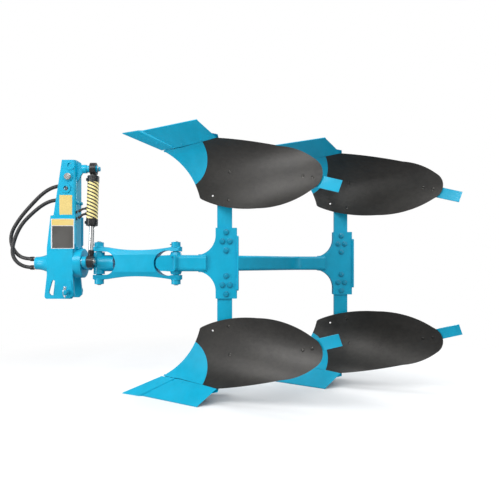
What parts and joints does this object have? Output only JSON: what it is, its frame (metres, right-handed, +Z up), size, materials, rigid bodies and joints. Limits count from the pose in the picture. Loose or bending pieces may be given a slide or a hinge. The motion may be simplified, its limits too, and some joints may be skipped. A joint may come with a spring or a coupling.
{
  "type": "reversible mouldboard plough",
  "caption": "Mounted reversible plough: a tower with a turnover cylinder, a swinging offset link, a cranked beam and mirrored upper and lower mouldboard bodies.",
  "frame": {"origin": "On the floor, under the middle of the plough's length and width.", "axes": "+X points rearwards, away from the tractor; +Y to the right as seen by the tractor's driver turned rearwards-left, which is the side away from the mouldboards of the lower bodies; +Z up."},
  "size_m": [2.4353, 0.9382, 1.432],
  "materials": {
    "bare_steel": "bare",
    "black_paint": "satin paint",
    "blue_paint": "gloss paint",
    "chrome_rod": "polished",
    "hose_rubber": "matte",
    "plough_steel": "oiled",
    "sleeve": "matte"
  },
  "bodies": {
    "headstock": {"tower": "blue_paint", "hub_cheeks": "blue_paint", "hub_front_plate": "blue_paint", "hub_housing": "blue_paint", "hitch_pins": "bare_steel", "top_link_pin": "bare_steel", "cylinder_bracket": "blue_paint", "hose_bulkhead": "bare_steel", "nose_fittings": "bare_steel", "hose_outer": "hose_rubber", "hose_inner": "hose_rubber"},
    "turnover": {"turnover_head": "blue_paint", "turnbuckle_front_pin": "bare_steel", "crank_pin": "bare_steel"},
    "barrel": {"cylinder_barrel": "black_paint", "cylinder_sleeve": "sleeve", "cylinder_pin": "bare_steel"},
    "rod": {"cylinder_rod": "chrome_rod"},
    "link": {"offset_link": "blue_paint", "link_pins": "blue_paint"},
    "turnbuckle": {"turnbuckle_tube": "blue_paint", "turnbuckle_eyes": "blue_paint"},
    "frame": {"neck": "blue_paint", "rear_beam": "blue_paint", "front_bracket_plates": "blue_paint", "bracket_straps": "blue_paint", "rear_bracket_plates": "blue_paint", "front_landsides": "blue_paint", "rear_landsides": "blue_paint", "front_tail_bars": "blue_paint", "rear_tail_bars": "blue_paint", "front_lower_mouldboard": "plough_steel", "front_lower_shin": "blue_paint", "front_lower_share": "blue_paint", "front_lower_point": "blue_paint", "front_lower_frog": "blue_paint", "front_lower_leg": "blue_paint", "front_upper_mouldboard": "plough_steel", "front_upper_shin": "blue_paint", "front_upper_share": "blue_paint", "front_upper_point": "blue_paint", "front_upper_frog": "blue_paint", "front_upper_leg": "blue_paint", "rear_lower_mouldboard": "plough_steel", "rear_lower_shin": "blue_paint", "rear_lower_share": "blue_paint", "rear_lower_point": "blue_paint", "rear_lower_frog": "blue_paint", "rear_lower_leg": "blue_paint", "rear_upper_mouldboard": "plough_steel", "rear_upper_shin": "blue_paint", "rear_upper_share": "blue_paint", "rear_upper_point": "blue_paint", "rear_upper_frog": "blue_paint", "rear_upper_leg": "blue_paint", "turnbuckle_rear_pin": "bare_steel"}
  },
  "joints": [
    {"name": "turnover", "type": "hinge", "parent": "headstock", "child": "turnover", "pos_m": [-0.9435, 0.05611, 0.716], "axis": [-1, 0, 0], "range_deg": [0, 180]},
    {"name": "rod_swing", "type": "hinge", "parent": "turnover", "child": "rod", "pos_m": [-0.8115, -0.02189, 0.724], "axis": [1, 0, 0], "range_deg": [0, 197.22]},
    {"name": "barrel_slide", "type": "slide", "parent": "rod", "child": "barrel", "axis": [0, 0.1046, 0.9945], "range_m": [-0.0736, 0.0238]},
    {"name": "link_swing", "type": "hinge", "parent": "turnover", "child": "link", "pos_m": [-0.7885, 0.05611, 0.716], "axis": [0, 0, 1], "range_deg": [-8, 8]},
    {"name": "frame_swing", "type": "hinge", "parent": "link", "child": "frame", "pos_m": [-0.3615, 0.01611, 0.716], "axis": [0, 0, 1], "range_deg": [-8, 8]},
    {"name": "turnbuckle_swing", "type": "hinge", "parent": "turnover", "child": "turnbuckle", "pos_m": [-0.7535, 0.14411, 0.716], "axis": [0, 0, 1], "range_deg": [-8, 8]}
  ],
  "couplings": [
    {"joint": "rod_swing", "follows": "turnover", "ratio": 1.0956},
    {"joint": "frame_swing", "follows": "link_swing", "ratio": -1},
    {"joint": "turnbuckle_swing", "follows": "link_swing", "ratio": 1}
  ]
}
